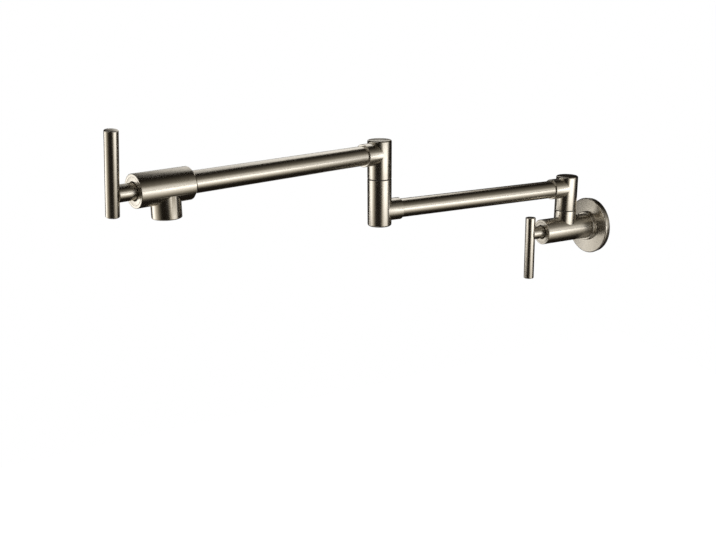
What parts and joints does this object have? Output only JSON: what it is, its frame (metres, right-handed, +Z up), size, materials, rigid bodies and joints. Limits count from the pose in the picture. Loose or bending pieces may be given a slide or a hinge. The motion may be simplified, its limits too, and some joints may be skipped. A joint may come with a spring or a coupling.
{
  "type": "wall mounted pot filler",
  "caption": "Wall mounted pot filler: a jointed spout arm that folds against the wall, with quarter-turn valves and T handles at the wall and at the outlet.",
  "frame": {"origin": "centre of the inlet thread's mouth, in the plane of the wall", "axes": "+Z up, -Y out of the wall along the inlet and the wall valve, +X to the right as seen from the room"},
  "size_m": [0.1169, 0.5583, 0.2061],
  "materials": {
    "brushed_nickel": "fine brushed, satin, warm grey",
    "brass": "machined",
    "stainless_steel": "bright",
    "ceramic": "lapped white ceramic",
    "rubber": "matt black",
    "slip_plastic": "low-friction, dark"
  },
  "bodies": {
    "wall_valve": {"wall_flange": "brushed_nickel", "flange_gasket": "rubber", "flange_set_screw": "stainless_steel", "valve_body": "brushed_nickel", "wall_gland_ring": "brushed_nickel", "wall_cartridge_housing": "brass", "wall_fixed_disc": "ceramic", "wall_seat_seal": "rubber", "wall_cartridge_oring": "rubber", "wall_swivel_spigot": "brass", "wall_swivel_orings": "rubber", "wall_swivel_washer": "slip_plastic"},
    "wall_handle": {"wall_handle_hub": "brushed_nickel", "wall_handle_bar": "brushed_nickel", "wall_handle_grub_screw": "stainless_steel", "wall_cartridge_spindle": "brass", "wall_spindle_oring": "rubber", "wall_moving_disc": "ceramic"},
    "inner_arm": {"inner_arm_elbow": "brushed_nickel", "wall_swivel_retaining_screw": "stainless_steel", "inner_arm_tube": "brushed_nickel", "inner_arm_end_housing": "brushed_nickel", "elbow_swivel_spigot": "brass", "elbow_swivel_orings": "rubber", "elbow_swivel_washer": "slip_plastic"},
    "outer_arm": {"outer_arm_elbow": "brushed_nickel", "elbow_swivel_retaining_screw": "stainless_steel", "outer_arm_tube": "brushed_nickel", "spout_body": "brushed_nickel", "spout_gland_ring": "brushed_nickel", "spout_cartridge_housing": "brass", "spout_fixed_disc": "ceramic", "spout_seat_seal": "rubber", "spout_cartridge_oring": "rubber", "aerator_washer": "rubber", "aerator_insert": "slip_plastic", "aerator_screen": "stainless_steel"},
    "spout_handle": {"spout_handle_hub": "brushed_nickel", "spout_handle_bar": "brushed_nickel", "spout_handle_grub_screw": "stainless_steel", "spout_cartridge_spindle": "brass", "spout_spindle_oring": "rubber", "spout_moving_disc": "ceramic"}
  },
  "joints": [
    {"name": "wall_swivel", "type": "hinge", "parent": "wall_valve", "child": "inner_arm", "pos_m": [0, -0.0398, 0.0224], "axis": [0, 0, 1], "range_deg": [-90, 90]},
    {"name": "elbow_swivel", "type": "hinge", "parent": "inner_arm", "child": "outer_arm", "pos_m": [0, -0.2778, 0.0795], "axis": [0, 0, 1], "continuous": true},
    {"name": "wall_handle_turn", "type": "hinge", "parent": "wall_valve", "child": "wall_handle", "pos_m": [0, -0.072, 0], "axis": [0, -1, 0], "range_deg": [-1.5, 88.5]},
    {"name": "spout_handle_turn", "type": "hinge", "parent": "outer_arm", "child": "spout_handle", "pos_m": [0.0684, -0.53486, 0.1044], "axis": [0.2571, -0.9664, 0], "range_deg": [-81.7, 8.3]}
  ]
}
